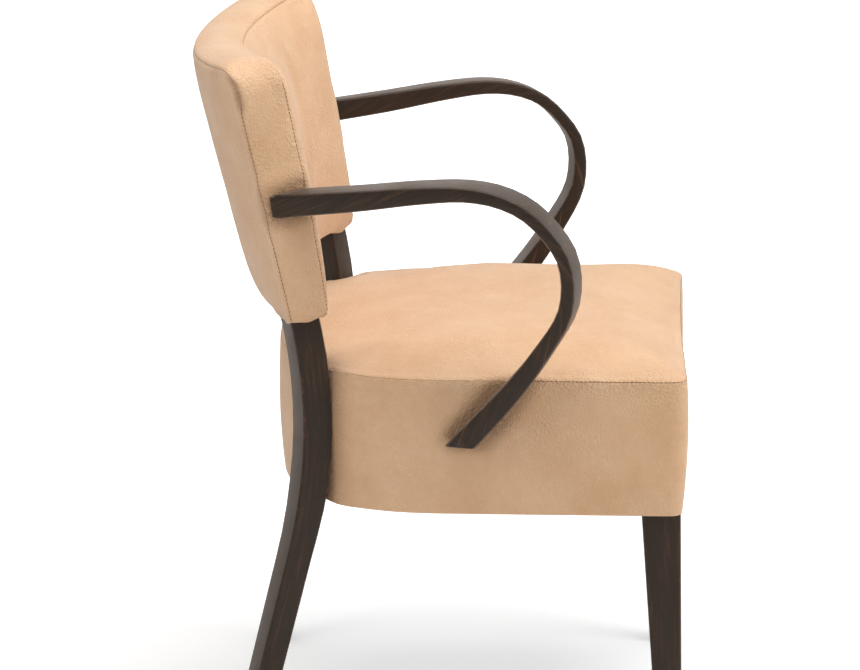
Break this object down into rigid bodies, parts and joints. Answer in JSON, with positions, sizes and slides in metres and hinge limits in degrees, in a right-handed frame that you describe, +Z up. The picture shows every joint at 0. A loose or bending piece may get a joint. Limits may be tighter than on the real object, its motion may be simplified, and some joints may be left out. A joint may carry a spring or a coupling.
{
  "type": "armchair",
  "caption": "Upholstered armchair with a barrel back, a boxed leather seat, looped bent-wood arms and slender splayed wooden legs.",
  "frame": {"origin": "middle of the bounding box, at floor height", "axes": "+X towards the chair's own left arm, -Y towards the front edge of the seat, +Z up"},
  "size_m": [0.624, 0.549, 0.7989],
  "materials": {
    "leather": "matt camel leather with a fine grain",
    "stained_wood": "dark stain under satin lacquer",
    "frame_wood": "bare beech",
    "foam": "upholstery foam",
    "cloth": "woven webbing and lining cloth",
    "steel": "zinc-plated",
    "glide": "moulded nylon"
  },
  "bodies": {
    "root": {"arm_bolt_left": "steel", "arm_bolt_right": "steel", "arm_left": "stained_wood", "arm_right": "stained_wood", "arm_screw_left": "steel", "arm_screw_right": "steel", "back_base": "leather", "back_cover": "leather", "back_front_foam": "foam", "back_lower_rail": "frame_wood", "back_panel": "frame_wood", "back_rear_foam": "foam", "back_top_rail": "frame_wood", "dust_cover": "cloth", "front_block_left": "frame_wood", "front_block_right": "frame_wood", "front_block_screw_left": "steel", "front_block_screw_right": "steel", "front_glide_left": "glide", "front_glide_right": "glide", "front_leg_left": "stained_wood", "front_leg_right": "stained_wood", "front_leg_stud_left": "steel", "front_leg_stud_right": "steel", "front_rail": "frame_wood", "rear_block_left": "frame_wood", "rear_block_right": "frame_wood", "rear_block_screw_left": "steel", "rear_block_screw_right": "steel", "rear_glide_left": "glide", "rear_glide_right": "glide", "rear_leg_bolt_1_left": "steel", "rear_leg_bolt_1_right": "steel", "rear_leg_bolt_2_left": "steel", "rear_leg_bolt_2_right": "steel", "rear_leg_left": "stained_wood", "rear_leg_right": "stained_wood", "rear_rail": "frame_wood", "seat_cover": "leather", "seat_foam": "foam", "side_rail_left": "frame_wood", "side_rail_right": "frame_wood", "webbing_strap_1": "cloth", "webbing_strap_2": "cloth", "webbing_strap_3": "cloth", "webbing_strap_4": "cloth", "webbing_strap_5": "cloth", "webbing_strap_6": "cloth"}
  },
  "joints": []
}
